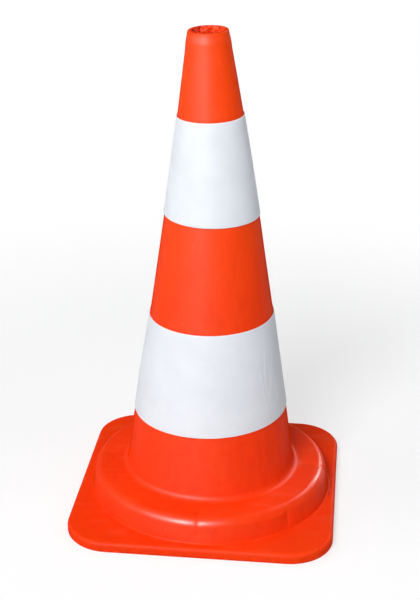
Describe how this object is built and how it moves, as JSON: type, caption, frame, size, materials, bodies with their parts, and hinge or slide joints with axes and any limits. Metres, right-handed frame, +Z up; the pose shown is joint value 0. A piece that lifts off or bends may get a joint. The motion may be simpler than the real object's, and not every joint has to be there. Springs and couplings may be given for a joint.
{
  "type": "traffic cone",
  "caption": "Hollow tapered traffic cone with a round ribbed shoulder on a square base, open at the top, stackable, with slip-on reflective sleeves.",
  "frame": {"origin": "centre of the base's underside, on the ground", "axes": "+Z up along the cone's axis, X and Y along the sides of the square base"},
  "size_m": [0.273, 0.273, 0.5],
  "materials": {
    "orange_pvc": "satin",
    "reflective_sheeting": "satin"
  },
  "bodies": {
    "cone": {"cone_body": "orange_pvc"},
    "upper_sleeve": {"upper_sleeve": "reflective_sheeting"},
    "lower_sleeve": {"lower_sleeve": "reflective_sheeting"}
  },
  "joints": [
    {"name": "upper_sleeve_lift", "type": "slide", "parent": "cone", "child": "upper_sleeve", "axis": [0, 0, 1], "range_m": [0, 0.2]},
    {"name": "lower_sleeve_lift", "type": "slide", "parent": "cone", "child": "lower_sleeve", "axis": [0, 0, 1], "range_m": [0, 0.41]}
  ]
}
